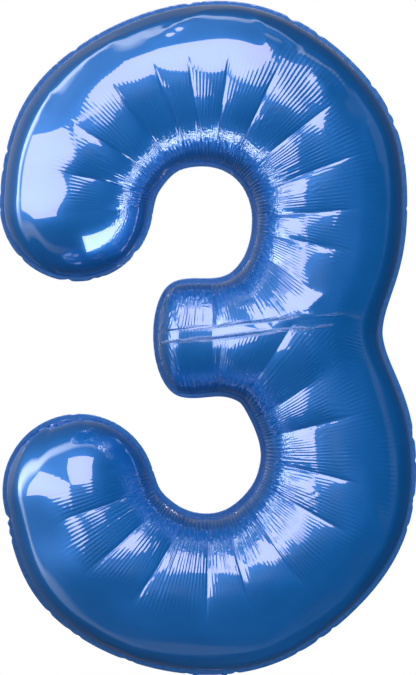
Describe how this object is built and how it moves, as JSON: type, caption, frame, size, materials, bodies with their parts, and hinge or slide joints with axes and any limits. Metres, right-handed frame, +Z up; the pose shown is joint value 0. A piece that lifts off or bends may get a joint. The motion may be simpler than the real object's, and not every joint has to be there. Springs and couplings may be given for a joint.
{
  "type": "foil number balloon",
  "caption": "Inflated foil balloon in the shape of the digit three: round tube body with a welded edge seam, a folding inflation tail and a flat self-closing valve inside.",
  "frame": {"origin": "foot of the edge seam at the bottom of the lower bend, where the tail leaves the balloon and a ribbon is tied", "axes": "+Z up the digit, front of the digit faces -Y, +X to the right as seen from the front"},
  "size_m": [0.5311, 0.2032, 0.8608],
  "materials": {
    "blue_foil": "metallised blue film with a mirror-like gloss",
    "seam_foil": "heat-sealed metallised blue film, finely crimped",
    "valve_film": "thin milky clear polyethylene film"
  },
  "bodies": {
    "envelope": {"front_sheet": "blue_foil", "rear_sheet": "blue_foil", "edge_seam": "seam_foil", "valve_root_weld": "valve_film"},
    "tail": {"tail_edge_seam": "seam_foil", "tail_front_ply": "blue_foil", "tail_rear_ply": "blue_foil", "inlet_front_film": "valve_film", "inlet_rear_film": "valve_film"},
    "front_lip": {"valve_front_film": "valve_film"},
    "rear_lip": {"valve_rear_film": "valve_film"}
  },
  "joints": [
    {"name": "tail_fold", "type": "hinge", "parent": "envelope", "child": "tail", "pos_m": [0, 0, -0.0014], "axis": [-1, 0, 0], "range_deg": [0, 210]},
    {"name": "front_lip_open", "type": "hinge", "parent": "envelope", "child": "front_lip", "pos_m": [0, -0.00035, 0.0123], "axis": [1, 0, 0], "range_deg": [0, 6], "stiffness_Nm_per_rad": 0.0005},
    {"name": "rear_lip_open", "type": "hinge", "parent": "envelope", "child": "rear_lip", "pos_m": [0, 0.00035, 0.0123], "axis": [1, 0, 0], "range_deg": [-6, 0], "stiffness_Nm_per_rad": 0.0005}
  ],
  "couplings": [
    {"joint": "rear_lip_open", "follows": "front_lip_open", "ratio": -1}
  ]
}
